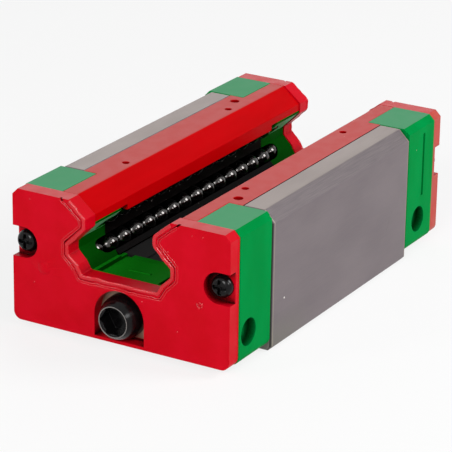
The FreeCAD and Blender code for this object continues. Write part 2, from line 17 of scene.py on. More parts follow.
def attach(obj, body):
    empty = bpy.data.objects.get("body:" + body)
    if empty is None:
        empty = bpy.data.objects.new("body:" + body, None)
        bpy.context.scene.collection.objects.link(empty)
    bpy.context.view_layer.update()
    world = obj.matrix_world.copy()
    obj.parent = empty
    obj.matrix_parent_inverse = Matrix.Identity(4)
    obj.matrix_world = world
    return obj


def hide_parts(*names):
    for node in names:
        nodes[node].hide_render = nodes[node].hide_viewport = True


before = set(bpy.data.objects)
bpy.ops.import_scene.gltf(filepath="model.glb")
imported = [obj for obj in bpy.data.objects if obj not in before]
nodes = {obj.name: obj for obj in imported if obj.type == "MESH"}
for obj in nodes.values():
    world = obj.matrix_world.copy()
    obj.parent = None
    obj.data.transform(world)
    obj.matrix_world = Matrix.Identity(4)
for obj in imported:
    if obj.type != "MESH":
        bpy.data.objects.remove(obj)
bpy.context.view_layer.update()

mm = 0.001
ends = {"front": -1, "rear": 1}
sides = {"left": 1, "right": -1}

# %% [markdown]
# ## Finishes
# Every finish here is a small tree of nodes. A pattern needs a place to start from, and Object coordinates
# are the part's own metres, so the grain keeps its real size on every piece and doesn't slide. Image
# textures could do the same, but they need files and seams. Noise nodes need neither. The helpers below
# make what each tree needs: a pattern, a colour that follows it, a number that follows it, and a relief.

# %% Helpers that start a finish
def feed(tree, socket, value):
    """Link a value to an input socket if it comes from a node, or else set the socket to it."""
    if isinstance(value, bpy.types.NodeSocket):
        tree.links.new(value, socket)
    else:
        socket.default_value = value


def display(red, green, blue):
    """Return the shader colour that shows as these 0 to 255 values on the screen."""
    levels = []
    for value in (red, green, blue):
        share = value / 255
        levels.append(share / 12.92 if share <= 0.04045 else ((share + 0.055) / 1.055) ** 2.4)
    return (*levels, 1.0)


def begin_finish(name):
    """Start a finish. Return its material, its tree, its shader and the place on the piece."""
    finish = bpy.data.materials.new(name)
    finish.use_nodes = True
    tree = finish.node_tree
    tree.nodes.clear()
    shader = tree.nodes.new("ShaderNodeBsdfPrincipled")
    surface = tree.nodes.new("ShaderNodeOutputMaterial")
    tree.links.new(shader.outputs["BSDF"], surface.inputs["Surface"])
    place = tree.nodes.new("ShaderNodeTexCoord").outputs["Object"]
    return finish, tree, shader, place


# %% Helpers for patterns
def scaled_place(tree, place, scale, shift):
    """Return a place that is scaled and shifted, which gives a pattern its size and its own start."""
    mapping = tree.nodes.new("ShaderNodeMapping")
    mapping.inputs["Location"].default_value = shift
    mapping.inputs["Scale"].default_value = scale
    tree.links.new(place, mapping.inputs["Vector"])
    return mapping.outputs["Vector"]


def grain(tree, place, size, stretch=(1, 1, 1), detail=3.0, seed=0.0):
    """Return a soft noise pattern whose grains are about size millimetres wide, longer where stretched."""
    scale = [1 / (size * mm * longer) for longer in stretch]
    pattern = tree.nodes.new("ShaderNodeTexNoise")
    pattern.inputs["Scale"].default_value = 1.0
    pattern.inputs["Detail"].default_value = detail
    feed(tree, pattern.inputs["Vector"], scaled_place(tree, place, scale, (seed, seed * 0.7, seed * 1.3)))
    return pattern.outputs["Fac"]


def follow(tree, pattern, low, high, start=0.3, end=0.7):
    """Return a number that goes from low to high as the pattern goes from start to end."""
    remap = tree.nodes.new("ShaderNodeMapRange")
    remap.interpolation_type = "SMOOTHSTEP"
    remap.inputs["From Min"].default_value = start
    remap.inputs["From Max"].default_value = end
    remap.inputs["To Min"].default_value = low
    remap.inputs["To Max"].default_value = high
    tree.links.new(pattern, remap.inputs["Value"])
    return remap.outputs["Result"]


def specks(tree, place, spacing, size, seed=0.0):
    """Return 1 on small round specks of dust, about one to each spacing in millimetres, and 0 elsewhere."""
    scale = (1 / (spacing * mm),) * 3
    cells = tree.nodes.new("ShaderNodeTexVoronoi")
    cells.inputs["Scale"].default_value = 1.0
    feed(tree, cells.inputs["Vector"], scaled_place(tree, place, scale, (seed, seed * 1.7, seed * 0.4)))
    return follow(tree, cells.outputs["Distance"], 1.0, 0.0, size * 0.6 / spacing, size / spacing)


# %% Helpers for colour and relief
edge_softness = 0.12
shape_samples = 6


def blend_colours(tree, share, under, over):
    """Return a colour that goes from under to over as share goes from 0 to 1."""
    mix = tree.nodes.new("ShaderNodeMix")
    mix.data_type = "RGBA"
    tree.links.new(share, mix.inputs["Factor"])
    for label, colour in (("A", under), ("B", over)):
        feed(tree, [s for s in mix.inputs if s.name == label and s.type == "RGBA"][0], colour)
    return [s for s in mix.outputs if s.type == "RGBA"][0]


def mottle(tree, pattern, dark, light):
    """Return a colour that wanders between two screen tones with a pattern."""
    return blend_colours(tree, follow(tree, pattern, 0.0, 1.0), display(*dark), display(*light))


def coat(tree, colour, share, tone, strength=1.0):
    """Return a colour with a screen tone laid over it where the share is 1, as strongly as asked."""
    if strength < 1:
        share = product(tree, share, strength)
    return blend_colours(tree, share, colour, display(*tone))


def settle(tree, shader, colour, roughness, layers, metal=0.0, gloss=0.5):
    """Give the shader its values, soft edges and a relief of (pattern, height in millimetres) layers."""
    feed(tree, shader.inputs["Base Color"], colour)
    feed(tree, shader.inputs["Roughness"], roughness)
    shader.inputs["Metallic"].default_value = metal
    shader.inputs["Specular IOR Level"].default_value = gloss
    softened = tree.nodes.new("ShaderNodeBevel")
    softened.samples = shape_samples
    softened.inputs["Radius"].default_value = edge_softness * mm
    normal = softened.outputs["Normal"]
    for pattern, height in layers:
        bump = tree.nodes.new("ShaderNodeBump")
        bump.inputs["Strength"].default_value = 1.0
        bump.inputs["Distance"].default_value = height * mm
        tree.links.new(pattern, bump.inputs["Height"])
        tree.links.new(normal, bump.inputs["Normal"])
        normal = bump.outputs["Normal"]
    tree.links.new(normal, shader.inputs["Normal"])


print("soft edges of", edge_softness, "mm")

# %% [markdown]
# Painted shade darkens the hollows, and a painted pale sheen lies on faces that look up. Both follow the
# shape
# alone: an Ambient Occlusion node tells how deep in a hollow a place is, and the Z part of the normal tells
# which faces look up. Other marks need only the place, such as what lies between the legs. Each helper
# gives a share from 0 to 1, and a product of shares is 1 only where all of them are. A pair of values such
# as top_start and top_full says where a share starts and where it is full, as millimetres for a place and
# as the cosine of a slope for a direction.

# %% Helpers for numbers and lengths
def combine(tree, operation, first, second=None):
    """Return the result of a sum on one or two numbers, any of which may come from a node."""
    node = tree.nodes.new("ShaderNodeMath")
    node.operation = operation
    feed(tree, node.inputs[0], first)
    if second is not None:
        feed(tree, node.inputs[1], second)
    return node.outputs["Value"]


def product(tree, first, *others):
    """Return the product of two or more numbers."""
    for other in others:
        first = combine(tree, "MULTIPLY", first, other)
    return first


def along(tree, place, axis):
    """Return one coordinate of a place."""
    split = tree.nodes.new("ShaderNodeSeparateXYZ")
    tree.links.new(place, split.inputs["Vector"])
    return split.outputs[axis]


def away(tree, place, axis):
    """Return how far a place is from the middle of the block, to either side along an axis."""
    return combine(tree, "ABSOLUTE", along(tree, place, axis))


def facing(tree, axis):
    """Return how much a face looks along an axis: 1 with it, 0 across it and -1 against it."""
    return along(tree, tree.nodes.new("ShaderNodeTexCoord").outputs["Normal"], axis)


def rise(tree, length, start, end):
    """Return a share that rises from 0 to 1 as a length goes from start to end, in millimetres."""
    return follow(tree, length, 0.0, 1.0, start * mm, end * mm)


def fall(tree, length, start, end):
    """Return a share that falls from 1 to 0 as a length goes from start to end, in millimetres."""
    return follow(tree, length, 1.0, 0.0, start * mm, end * mm)


# %% Helpers that follow the shape
border = 0.1
top_start, top_full = 22.8, 23.6
slot_floor = 10.7
hollow_full, hollow_start = 0.58, 0.96
upward_start, upward_full = 0.84, 0.97
sideways_start, sideways_full = 0.35, 0.6


def sheltered(tree, reach):
    """Return 1 deep in a hollow of a piece and 0 on open faces. Hollows wider than reach count little."""
    hollow = tree.nodes.new("ShaderNodeAmbientOcclusion")
    hollow.samples = shape_samples
    hollow.only_local = True
    hollow.inputs["Distance"].default_value = reach * mm
    return follow(tree, hollow.outputs["AO"], 1.0, 0.0, hollow_full, hollow_start)


def top_face(tree, place):
    """Return 1 on the top of the block, where its highest faces look up, and 0 elsewhere."""
    upward = follow(tree, facing(tree, "Z"), 0.0, 1.0, upward_start, upward_full)
    return product(tree, upward, rise(tree, along(tree, place, "Z"), top_start, top_full))


def facing_sideways(tree):
    """Return 1 on the faces of a piece that look left or right and 0 on those that don't."""
    sideways = combine(tree, "ABSOLUTE", facing(tree, "Y"))
    return follow(tree, sideways, 0.0, 1.0, sideways_start, sideways_full)


def between_legs(tree, place, half_width, top):
    """Return 1 in the slot, inside half a width and from its floor up to a top, and 0 elsewhere."""
    level = along(tree, place, "Z")
    return product(tree, fall(tree, away(tree, place, "Y"), half_width - border, half_width + border),
                   rise(tree, level, slot_floor - border, slot_floor + border),
                   fall(tree, level, top - border, top + border))


print("the slot's shade starts at", slot_floor, "mm, the pale top at", top_full, "mm")

# %% [markdown]
# ## Ground steel
# The body is hardened steel that a grinding wheel has passed over lengthways. Its colour is even, and what
# shows the grinding is the gloss: fine lines along X that catch light at slightly different angles. A noise
# pattern stretched sixty times along X gives such lines. Oil and handling leave faint clouds. The tops get a
# paler tone, a painted sheen for the light that glances off them, the faces that slope up below them get
# painted shade, and the low corner near the front end is darker still. Each side has a painted shadow line
# where it meets a cap, beside a painted highlight along its edge, and four fine scratches that lean and bend
# a little. What lies between the legs is painted almost black, a painted shade of the slot, by a mask on
# the place.

# %% Scratches in the steel
scratch_bend = 60.0
scratches = (((17.6, 9.6), 24, 3.4, 0.07), ((18.6, 10.6), 26, 2.6, 0.05),
             ((13.2, 11.4), 18, 2.2, 0.04), ((14.1, 12.0), 20, 2.8, 0.03))


def scratch(tree, place, middle, lean, length, width):
    """Return 1 on a fine scratch round a middle (x, z), leaning some degrees, with its length and width."""
    x = combine(tree, "SUBTRACT", along(tree, place, "X"), middle[0] * mm)
    z = combine(tree, "SUBTRACT", along(tree, place, "Z"), middle[1] * mm)
    slope = math.radians(lean)
    across = combine(tree, "SUBTRACT", product(tree, x, math.cos(slope)), product(tree, z, math.sin(slope)))
    across = combine(tree, "ADD", across, product(tree, z, z, scratch_bend))
    near = fall(tree, combine(tree, "ABSOLUTE", across), 0.0, width)
    return product(tree, near, fall(tree, combine(tree, "ABSOLUTE", z), length * 0.3, length * 0.5))


def all_scratches(tree, place):
    """Return 1 on any of the scratches and 0 elsewhere."""
    share = scratch(tree, place, *scratches[0])
    for values in scratches[1:]:
        share = combine(tree, "MAXIMUM", share, scratch(tree, place, *values))
    return share


print("scratches", len(scratches))

# %% Ground steel
# Of these tones, top is a painted sheen, slope and slot are painted shade, the tone at the caps is a painted
# shadow line and edge is a painted highlight.
steel_tones = {
    "side": ((101, 91, 96), (111, 101, 105)),
    "top": ((118, 107, 102), (129, 118, 113)),
    "slope": (88, 80, 84),
    "bright lines": (140, 131, 129),
    "low corner": (100, 102, 88),
    "scratches": (78, 74, 72),
    "lint": (236, 232, 226),
    "joint": (14, 10, 10),
    "edge": (160, 150, 134),
    "slot": (10, 9, 9),
}
steel_slot_half, steel_slot_top = 13.7, 24.0
joint_start, joint_full = 24.9, 25.12
edge_glint_start, edge_glint_full = 24.6, 24.7
slope_start, slope_full = 0.3, 0.5
low_full, low_end = 0.5, 7.5
near_full, near_end = -25, -8


def cap_shadow_and_edge_glint(tree, place, colour):
    """Return the steel's colour with a painted shadow line where it meets the caps and a painted highlight
    beside it.
    """
    out = away(tree, place, "X")
    sideways = facing_sideways(tree)
    # Painted shadow: a dark line on each side where the steel meets a cap.
    joint = product(tree, rise(tree, out, joint_start, joint_full), sideways)
    colour = coat(tree, colour, joint, steel_tones["joint"], strength=0.95)
    # Painted highlight: a pale line along each side's edge beside the caps.
    edge = product(tree, rise(tree, out, edge_glint_start, edge_glint_full),
                   fall(tree, out, joint_start - border, joint_start), sideways)
    return coat(tree, colour, edge, steel_tones["edge"], strength=0.6)


def make_ground_steel():
    """Return the finish of the ground steel body."""
    finish, tree, shader, place = begin_finish("ground_steel_finish")
    lines = grain(tree, place, 0.07, stretch=(60, 1, 1), detail=4.0)
    clouds = grain(tree, place, 9.0, stretch=(2, 1, 1), seed=4.0)
    pits = grain(tree, place, 0.16, stretch=(1.5, 1, 1), detail=2.0, seed=2.0)
    # Painted sheen on the top faces, painted shade on the faces that slope up below them.
    top = top_face(tree, place)
    colour = blend_colours(tree, top, mottle(tree, clouds, *steel_tones["side"]),
                           mottle(tree, clouds, *steel_tones["top"]))
    slope = follow(tree, facing(tree, "Z"), 0.0, 1.0, slope_start, slope_full)
    slope = product(tree, slope, combine(tree, "SUBTRACT", 1.0, top))
    colour = coat(tree, colour, slope, steel_tones["slope"])
    colour = coat(tree, colour, follow(tree, lines, 0.0, 0.3), steel_tones["bright lines"])
    low = fall(tree, along(tree, place, "Z"), low_full, low_end)
    near = fall(tree, along(tree, place, "X"), near_full, near_end)
    colour = coat(tree, colour, product(tree, low, near), steel_tones["low corner"], strength=0.55)
    colour = coat(tree, colour, all_scratches(tree, place), steel_tones["scratches"], strength=0.6)
    colour = coat(tree, colour, specks(tree, place, spacing=11.0, size=0.22, seed=3.0), steel_tones["lint"])
    colour = cap_shadow_and_edge_glint(tree, place, colour)
    # Painted shade: what lies between the legs is painted almost black for the shade in the slot.
    slot = between_legs(tree, place, steel_slot_half, steel_slot_top)
    colour = coat(tree, colour, slot, steel_tones["slot"])
    dull = combine(tree, "MAXIMUM", follow(tree, lines, 0.44, 0.56), product(tree, slot, 0.85))
    settle(tree, shader, colour, dull, [(lines, 0.004), (pits, 0.006)], metal=0.5)
    return finish


ground_steel = make_ground_steel()
print("made", ground_steel.name)

# %% [markdown]
# ## Red and green plastics
# The seals are a firm red rubber and the caps a green moulded plastic. Both are even in colour and have a
# satin skin with a very fine texture from the mould. The skin reflects little, which keeps the colours
# deep. The faces that look up get a paler tone, a painted sheen for the light that glances off them, and
# the hollows get painted shade. Between the legs the caps get painted shade too, and the slopes that hang
# over the slot get a painted pale sheen. The sides of the rear seal carry a film of brown dust, and the
# strips get a painted shadow where they meet the steel. The four finishes share one tree, with other
# values and a few marks of their own, so one function makes them from recipes.

# %% Special marks of the moulded pieces
strip_edge = 15.8
film_start, film_full = 34, 35
film_side_start, film_side_full = 18, 19
cap_slot_half, cap_slot_top = 13.2, 23.6
hanging_full, hanging_start = -0.65, -0.5


def rear_film(tree, place, flow):
    """Return 1 where a film of dust lies on the outer sides of the rear seal, and 0 elsewhere."""
    return product(tree, rise(tree, along(tree, place, "X"), film_start, film_full), facing_sideways(tree),
                   rise(tree, away(tree, place, "Y"), film_side_start, film_side_full),
                   follow(tree, flow, 0.7, 1.0))


def strip_joint(tree, place):
    """Return 1 on the outer side of a strip, where it meets the steel, and 0 elsewhere."""
    out = rise(tree, away(tree, place, "Y"), strip_edge - border, strip_edge + border)
    return product(tree, out, facing_sideways(tree))


def shaded_slot(tree, place, colour, level, upright, hanging):
    """Return a cap's colour with painted shade in the slot for its level and upright faces and a paler
    painted sheen for its hanging faces.
    """
    inner = blend_colours(tree, facing_sideways(tree), display(*level), display(*upright))
    downward = follow(tree, facing(tree, "Z"), 1.0, 0.0, hanging_full, hanging_start)
    inner = coat(tree, inner, downward, hanging)
    return blend_colours(tree, between_legs(tree, place, cap_slot_half, cap_slot_top), colour, inner)


print("strips meet the steel at", strip_edge, "mm from the middle")

# %% Red rubber, red strip and green plastic
# Each set of tones holds the colour, a paler painted sheen for the top faces and a near-black painted shade
# for hollows.
red = {"dark": (190, 0, 20), "light": (198, 2, 28), "pale_top_sheen": (190, 64, 66), "hollow_shade_tone": (6, 0, 0)}
strip_red = {"dark": (178, 0, 4), "light": (188, 0, 6), "pale_top_sheen": (184, 72, 70), "hollow_shade_tone": (50, 0, 2)}
green = {"dark": (0, 126, 56), "light": (0, 135, 63), "pale_top_sheen": (80, 150, 108), "hollow_shade_tone": (0, 8, 0)}
lint_tone = (235, 190, 190)
hollow_shade_reach = 2.6
recipes = {
    "red_rubber_finish": {**red, "roughness": (0.34, 0.46), "skin": 0.006, "gloss": 0.06, "hollow_shade": 0.97,
                          "film": (174, 82, 72)},
    "red_lip_finish": {**red, "roughness": (0.14, 0.24), "skin": 0.004, "gloss": 0.4, "hollow_shade": 0.0},
    "red_strip_finish": {**strip_red, "roughness": (0.28, 0.4), "skin": 0.0015, "gloss": 0.02, "hollow_shade": 0.5,
                         "streak": (4, 1, 1), "joint": (50, 14, 16)},
    "green_plastic_finish": {**green, "roughness": (0.3, 0.42), "skin": 0.002, "gloss": 0.005, "hollow_shade": 0.85,
                             "streak": (1, 1, 4), "hollow_shade_top": 9.6,
                             "slot_shade_tones": ((14, 116, 18), (2, 64, 4), (110, 186, 134))},
}


def make_moulded(name, recipe):
    """Return a moulded finish by its recipe: screen tones, roughness range, skin height, gloss and painted
    shade in hollows.
    """
    finish, tree, shader, place = begin_finish(name)
    flow = grain(tree, place, 5.0, stretch=recipe.get("streak", (1, 1, 1)), seed=1.0)
    skin = grain(tree, place, 0.22, detail=2.0, seed=5.0)
    wave = grain(tree, place, 2.4, detail=2.0, seed=8.0)
    colour = mottle(tree, flow, recipe["dark"], recipe["light"])
    # Painted sheen: the top faces get a paler tone for the light that glances off them.
    colour = coat(tree, colour, top_face(tree, place), recipe["pale_top_sheen"])
    if "film" in recipe:
        colour = coat(tree, colour, rear_film(tree, place, flow), recipe["film"])
    lint = specks(tree, place, spacing=6.5, size=0.11, seed=7.0)
    colour = coat(tree, colour, lint, lint_tone, strength=0.55)
    # Painted shadow: the strip's outer side goes dark where it meets the steel.
    if "joint" in recipe:
        colour = coat(tree, colour, strip_joint(tree, place), recipe["joint"])
    # Painted shade: the colour goes near black deep in the hollows, where shade falls.
    hollow_shade = product(tree, sheltered(tree, hollow_shade_reach), recipe["hollow_shade"])
    if "hollow_shade_top" in recipe:
        level = along(tree, place, "Z")
        hollow_shade = product(tree, hollow_shade, fall(tree, level, recipe["hollow_shade_top"] - 0.2, recipe["hollow_shade_top"] + 0.2))
    colour = coat(tree, colour, hollow_shade, recipe["hollow_shade_tone"])
    # Painted shade on a cap inside the slot, with a paler painted sheen on the faces that hang over it.
    if "slot_shade_tones" in recipe:
        colour = shaded_slot(tree, place, colour, *recipe["slot_shade_tones"])
    settle(tree, shader, colour, follow(tree, wave, *recipe["roughness"]),
           [(wave, recipe["skin"] * 3), (skin, recipe["skin"])], gloss=recipe["gloss"])
    return finish


moulded = {name: make_moulded(name, recipe) for name, recipe in recipes.items()}
print("made", list(moulded))

# %% [markdown]
# ## Black parts, sheet steel and balls
# The retainers are black plastic with grease and dust on them. The screws and the plug are steel with a
# black oxide skin, smooth enough for a sharp highlight, and the plug's rim is worn bright by the key. The
# plate behind each seal is bare sheet with a warm tan tone. The balls are polished bearing steel with a
# film of dark grease: a dim mirror that shows the black slot and one bright lamp in each ball.

# %% Black plastic, sheet steel and bearing steel
def make_black_plastic():
    """Return the finish of the ball retainers and return guides, with dust on it."""
    finish, tree, shader, place = begin_finish("black_plastic_finish")
    smear = grain(tree, place, 1.8, stretch=(3, 1, 1), seed=6.0)
    skin = grain(tree, place, 0.18, detail=2.0, seed=2.0)
    colour = mottle(tree, smear, (3, 2, 2), (8, 5, 5))
    fine = specks(tree, place, spacing=1.7, size=0.11, seed=1.0)
    coarse = specks(tree, place, spacing=3.1, size=0.2, seed=9.0)
    colour = coat(tree, colour, combine(tree, "MAXIMUM", fine, coarse), (150, 144, 138), strength=0.7)
    settle(tree, shader, colour, follow(tree, smear, 0.28, 0.5), [(smear, 0.012), (skin, 0.004)], gloss=0.02)
    return finish


def make_sheet_steel():
    """Return the finish of the plates behind the seals."""
    finish, tree, shader, place = begin_finish("sheet_steel_finish")
    rolled = grain(tree, place, 0.2, stretch=(1, 14, 1), seed=2.0)
    stain = grain(tree, place, 2.2, seed=5.0)
    colour = mottle(tree, stain, (128, 98, 80), (146, 120, 102))
    settle(tree, shader, colour, follow(tree, rolled, 0.34, 0.5), [(rolled, 0.005)], metal=0.5)
    return finish


def make_bearing_steel():
    """Return the finish of the polished balls."""
    finish, tree, shader, place = begin_finish("bearing_steel_finish")
    film = grain(tree, place, 1.1, detail=2.0, seed=7.0)
    colour = mottle(tree, film, (68, 66, 65), (79, 77, 76))
    settle(tree, shader, colour, follow(tree, film, 0.1, 0.18), [(film, 0.001)], metal=1.0)
    return finish


black_plastic = make_black_plastic()
sheet_steel = make_sheet_steel()
bearing_steel = make_bearing_steel()
print("made", black_plastic.name, sheet_steel.name, bearing_steel.name)

# %% Black oxide, plain and worn
plug_level = 6.0
plug_face = 40.75
rim_inner, rim_outer = 2.7, 2.82


def worn_rim(tree, place):
    """Return 1 on the flat rim round a plug's socket and 0 elsewhere."""
    y = along(tree, place, "Y")
    z = combine(tree, "SUBTRACT", along(tree, place, "Z"), plug_level * mm)
    radius = combine(tree, "SQRT", combine(tree, "ADD", product(tree, y, y), product(tree, z, z)))
    return product(tree, rise(tree, radius, rim_inner - 0.05, rim_inner),
                   fall(tree, radius, rim_outer, rim_outer + 0.05),
                   rise(tree, away(tree, place, "X"), plug_face - 0.3, plug_face - 0.2))


def make_black_oxide(name, rim_wear):
    """Return the black oxide finish, with a share of wear on the rim of a plug."""
    finish, tree, shader, place = begin_finish(name)
    patches = grain(tree, place, 0.9, seed=3.0)
    skin = grain(tree, place, 0.12, detail=2.0, seed=1.0)
    colour = mottle(tree, patches, (6, 5, 6), (12, 11, 12))
    if rim_wear:
        colour = coat(tree, colour, worn_rim(tree, place), (140, 136, 132), strength=rim_wear)
    settle(tree, shader, colour, follow(tree, patches, 0.12, 0.24), [(patches, 0.008), (skin, 0.003)],
           gloss=0.17)
    return finish


black_oxide = make_black_oxide("black_oxide_finish", 0)
worn_oxide = make_black_oxide("worn_oxide_finish", 0.7)
print("made", black_oxide.name, worn_oxide.name)

# %% [markdown]
# ## Real edges
# No real edge is perfectly sharp: a mould leaves a small radius and a grinder leaves a tiny chamfer. That
# strip of rounded edge is what catches a thin line of light and makes a model look solid. A CAD node
# arrives as loose triangles, so a copy of it is merged, and its triangles are joined into whole faces. Then
# a Bevel modifier rounds every edge that turns more than an angle, and Weighted Normal keeps the flat faces
# flat. The copy is then a plain mesh that stands for the node. The turns below are in degrees.

# %% Helpers that dress a CAD node
same_place = 0.001
flat_turn, smooth_turn, edge_turn = 0.4, 30, 32
edge_steps = 2


def plain_mesh(piece):
    """Turn a piece with modifiers into one with a plain mesh, and return it."""
    graph = bpy.context.evaluated_depsgraph_get()
    mesh = bpy.data.meshes.new_from_object(piece.evaluated_get(graph), depsgraph=graph)
    piece.modifiers.clear()
    piece.data = mesh
    return piece


def whole_faces(node, join):
    """Return a merged copy of a CAD node's mesh, with its triangles joined into whole faces if asked."""
    mesh = nodes[node].data.copy()
    work = bmesh.new()
    work.from_mesh(mesh)
    bmesh.ops.remove_doubles(work, verts=work.verts, dist=same_place * mm)
    if join:
        bmesh.ops.dissolve_limit(work, angle_limit=math.radians(flat_turn), verts=work.verts,
                                 edges=work.edges)
    for face in work.faces:
        face.smooth = True
    for edge in work.edges:
        edge.smooth = len(edge.link_faces) == 2 and edge.calc_face_angle(0) < math.radians(smooth_turn)
    work.to_mesh(mesh)
    work.free()
    return mesh


def dress(node, body, finish, radius):
    """Make the visible copy of a CAD node with rounded edges of a radius in millimetres, and return it."""
    mesh = whole_faces(node, radius > 0)
    mesh.materials.clear()
    mesh.materials.append(finish)
    piece = bpy.data.objects.new(node + "_dressed", mesh)
    bpy.context.scene.collection.objects.link(piece)
    if radius:
        edges = piece.modifiers.new("edges", "BEVEL")
        edges.width = radius * mm
        edges.segments = edge_steps
        edges.limit_method = "ANGLE"
        edges.angle_limit = math.radians(edge_turn)
        edges.use_clamp_overlap = False
        edges.miter_outer = "MITER_ARC"
    shade = piece.modifiers.new("shade", "WEIGHTED_NORMAL")
    shade.keep_sharp = True
    plain_mesh(piece)
    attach(piece, body)
    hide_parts(node)
    return piece


print("edges that turn more than", edge_turn, "degrees are rounded")

# %% [markdown]
# ## Body, caps, seals and hardware
# These pieces have the right shape in CAD, so each gets its edges and its finish. The steel, the strips,
# the screws and the plugs get real rounded edges. The caps, seals, plates and retainers keep the faces of
# the CAD mesh, because their small curves and cut-outs leave no room for a clean bevel. Their radius is 0,
# and the Bevel node in their finishes softens their edges for the light alone.

# %% Dress the fixed pieces
plain = [("carriage_body", "ground_steel", ground_steel, 0.12)]
for end in ends:
    plain.append((end + "_end_cap", "green_plastic", moulded["green_plastic_finish"], 0))
    plain.append((end + "_end_seal", "red_rubber", moulded["red_rubber_finish"], 0))
    plain.append((end + "_seal_plate", "tan_plate", sheet_steel, 0))
    plain.append((end + "_cap_screws", "black_steel", black_oxide, 0.09))
    plain.append((end + "_grease_plug", "black_steel", worn_oxide, 0.05))
for side in sides:
    plain.append((side + "_bottom_seal", "red_strip", moulded["red_strip_finish"], 0.12))
    plain.append((side + "_ball_retainer", "black_plastic", black_plastic, 0))
for node, slot, finish, radius in plain:
    piece = dress(node, "block", finish, radius)
    print(node, "has", len(piece.data.polygons), "faces")

# %% [markdown]
# The return guides are closed in behind the caps. They keep their CAD mesh and only get the finish.

# %% Return guides
for end in ends:
    for side in sides:
        guide = nodes[end + "_" + side + "_return_guide"]
        guide.data.materials.clear()
        guide.data.materials.append(black_plastic)
print("guides have the finish", black_plastic.name)

# %% [markdown]
# ## Balls
# Each circuit is a straight loaded row, a straight return row and a turn at each end. A row is one shape
# repeated on a line, which is what Geometry Nodes do best: a line of points, a ball on each point, then
# Realize Instances so that the result is real mesh. A second tree puts three balls on a half circle. The
# sizes are inputs of the tree, so one tree serves all the rows.

# %% Helpers for Geometry Nodes
def begin_tree(name, inputs):
    """Start a tree with named inputs. Return it, its group input and output, and the inputs' identifiers."""
    tree = bpy.data.node_groups.new(name, "GeometryNodeTree")
    tree.interface.new_socket("Geometry", in_out="OUTPUT", socket_type="NodeSocketGeometry")
    identifiers = {}
    for label, kind in inputs.items():
        socket = tree.interface.new_socket(label, in_out="INPUT", socket_type="NodeSocket" + kind)
        identifiers[label] = socket.identifier
    return tree, tree.nodes.new("NodeGroupInput"), tree.nodes.new("NodeGroupOutput"), identifiers


def finish_tree(tree, given, result, instances):
    """End a tree: make the instances real, shade them smooth and give them the finish."""
    real = tree.nodes.new("GeometryNodeRealizeInstances")
    shaded = tree.nodes.new("GeometryNodeSetShadeSmooth")
    painted = tree.nodes.new("GeometryNodeSetMaterial")
    shaded.inputs["Shade Smooth"].default_value = True
    tree.links.new(instances, real.inputs["Geometry"])
    tree.links.new(real.outputs["Geometry"], shaded.inputs["Geometry"])
    tree.links.new(shaded.outputs["Geometry"], painted.inputs["Geometry"])
    tree.links.new(given.outputs["Finish"], painted.inputs["Material"])
    tree.links.new(painted.outputs["Geometry"], result.inputs["Geometry"])


def combine_vectors(tree, operation, first, second):
    """Return the result of a sum on two vectors, or on a vector and a number where it is SCALE."""
    node = tree.nodes.new("ShaderNodeVectorMath")
    node.operation = operation
    feed(tree, node.inputs[0], first)
    feed(tree, node.inputs["Scale" if operation == "SCALE" else 1], second)
    return node.outputs["Vector"]


def ball_on_points(tree, given, points):
    """Put a ball on each point, and return the instances."""
    ball = tree.nodes.new("GeometryNodeMeshIcoSphere")
    place = tree.nodes.new("GeometryNodeInstanceOnPoints")
    tree.links.new(given.outputs["Ball radius"], ball.inputs["Radius"])
    tree.links.new(given.outputs["Roundness"], ball.inputs["Subdivisions"])
    tree.links.new(points, place.inputs["Points"])
    tree.links.new(ball.outputs["Mesh"], place.inputs["Instance"])
    return place.outputs["Instances"]


# %% Geometry Nodes tree for a straight row
row_tree, given, result, row_inputs = begin_tree("ball_row", {
    "Balls": "Int", "First ball": "Vector", "Step": "Vector",
    "Ball radius": "Float", "Roundness": "Int", "Finish": "Material",
})
line = row_tree.nodes.new("GeometryNodeMeshLine")
line.mode = "OFFSET"
row_tree.links.new(given.outputs["Balls"], line.inputs["Count"])
row_tree.links.new(given.outputs["First ball"], line.inputs["Start Location"])
row_tree.links.new(given.outputs["Step"], line.inputs["Offset"])
finish_tree(row_tree, given, result, ball_on_points(row_tree, given, line.outputs["Mesh"]))
print("row inputs", list(row_inputs))

# %% [markdown]
# In the turn, a ball's place is worked out from its number: the angle grows by a sixth of a circle from
# ball to ball, and sine and cosine of it move the ball out of the end and across the turn.

# %% Geometry Nodes tree for a turn
turn_tree, given, result, turn_inputs = begin_tree("ball_turn", {
    "Balls": "Int", "Centre": "Vector", "Across": "Vector", "Outward": "Vector", "Step angle": "Float",
    "Ball radius": "Float", "Roundness": "Int", "Finish": "Material",
})
points = turn_tree.nodes.new("GeometryNodePoints")
number = turn_tree.nodes.new("GeometryNodeInputIndex").outputs["Index"]
angle = product(turn_tree, combine(turn_tree, "ADD", number, 0.5), given.outputs["Step angle"])
cosine, sine = combine(turn_tree, "COSINE", angle), combine(turn_tree, "SINE", angle)
sideways = combine_vectors(turn_tree, "SCALE", given.outputs["Across"], cosine)
outward = combine_vectors(turn_tree, "SCALE", given.outputs["Outward"], sine)
spot = combine_vectors(turn_tree, "ADD", sideways, outward)
spot = combine_vectors(turn_tree, "ADD", given.outputs["Centre"], spot)
turn_tree.links.new(given.outputs["Balls"], points.inputs["Count"])
turn_tree.links.new(spot, points.inputs["Position"])
finish_tree(turn_tree, given, result, ball_on_points(turn_tree, given, points.outputs["Points"]))
print("turn inputs", list(turn_inputs))

# %% [markdown]
# A modifier carries the tree, and its inputs are set by their identifiers before anything is evaluated. The
# evaluated result becomes the plain mesh of the piece. The loaded balls show in the slot, so they are
# rounder than the hidden ones.

